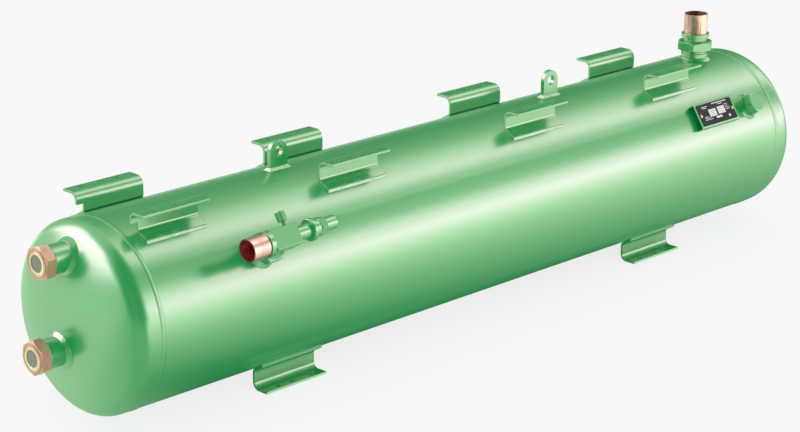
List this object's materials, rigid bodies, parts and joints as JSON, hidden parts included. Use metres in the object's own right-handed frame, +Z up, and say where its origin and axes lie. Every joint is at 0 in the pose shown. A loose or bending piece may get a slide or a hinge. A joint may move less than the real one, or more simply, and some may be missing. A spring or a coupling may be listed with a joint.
{
  "type": "refrigerant liquid receiver",
  "caption": "Horizontal steel vessel that stores liquid refrigerant, with mounting rails, feet, lifting lugs, a screwed inlet, an outlet shut-off valve and sight glasses.",
  "frame": {"origin": "centre of the feet's bolt pattern, on the plane that the feet stand on", "axes": "+X along the vessel from the sight-glass end to the inlet end, +Z up, the shut-off valve on the -Y side"},
  "size_m": [1.7871, 0.3753, 0.4349],
  "materials": {
    "green_paint": "satin green paint",
    "brass": "machined",
    "copper": "drawn copper, slightly oxidised",
    "bare_steel": "machined",
    "gasket": "dull",
    "sight_glass": "clear",
    "plate_black": "dark print on aluminium",
    "rivet": "satin"
  },
  "bodies": {
    "root": {"seam_weld_left": "green_paint", "seam_weld_right": "green_paint", "inlet_spigot": "green_paint", "inlet_gasket": "gasket", "inlet_tailpiece": "green_paint", "inlet_union_nut": "green_paint", "inlet_copper_stub": "copper", "outlet_spigot": "green_paint", "outlet_gasket": "gasket", "outlet_union_nut": "green_paint", "valve_body": "green_paint", "outlet_copper_stub": "copper", "valve_bonnet": "green_paint", "valve_packing": "gasket", "valve_gland_nut": "green_paint", "valve_spindle": "bare_steel", "valve_cap_gasket": "gasket", "valve_seal_cap": "green_paint", "service_fitting": "green_paint", "service_cap": "green_paint", "relief_boss": "green_paint", "relief_gasket": "gasket", "relief_plug": "green_paint", "dip_tube": "bare_steel", "sight_boss_upper": "green_paint", "sight_gasket_upper": "gasket", "sight_body_upper": "brass", "sight_rim_upper": "brass", "sight_glass_upper": "sight_glass", "sight_boss_lower": "green_paint", "sight_gasket_lower": "gasket", "sight_body_lower": "brass", "sight_rim_lower": "brass", "sight_glass_lower": "sight_glass", "nameplate_holder": "green_paint", "nameplate": "plate_black", "nameplate_rivets": "rivet", "shell_tube": "green_paint", "head_left": "green_paint", "head_right": "green_paint", "port_welds": "green_paint", "rail_front_1": "green_paint", "rail_rear_1": "green_paint", "rail_front_2": "green_paint", "rail_rear_2": "green_paint", "rail_front_3": "green_paint", "rail_rear_3": "green_paint", "rail_front_4": "green_paint", "rail_rear_4": "green_paint", "foot_front_left": "green_paint", "foot_rear_left": "green_paint", "foot_front_right": "green_paint", "foot_rear_right": "green_paint", "rail_welds": "green_paint", "foot_welds": "green_paint", "lifting_lug_left": "green_paint", "lifting_lug_right": "green_paint", "lug_welds": "green_paint"}
  },
  "joints": []
}
